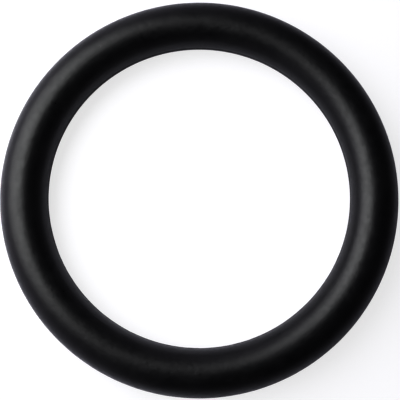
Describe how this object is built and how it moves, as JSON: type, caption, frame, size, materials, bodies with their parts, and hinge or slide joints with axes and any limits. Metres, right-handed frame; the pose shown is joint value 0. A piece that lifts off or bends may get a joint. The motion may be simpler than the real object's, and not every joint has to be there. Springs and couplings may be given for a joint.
{
  "type": "rubber o-ring",
  "caption": "Plain moulded rubber sealing ring of round section, for a groove in a bore, on a shaft or under a flange.",
  "frame": {"origin": "centre of the ring, on the plane of the mould's parting line", "axes": "+Z along the ring's axis, +X and +Y across it"},
  "size_m": [0.0422, 0.0422, 0.005],
  "materials": {
    "black_rubber": "satin, as moulded"
  },
  "bodies": {
    "root": {"o_ring": "black_rubber"}
  },
  "joints": []
}
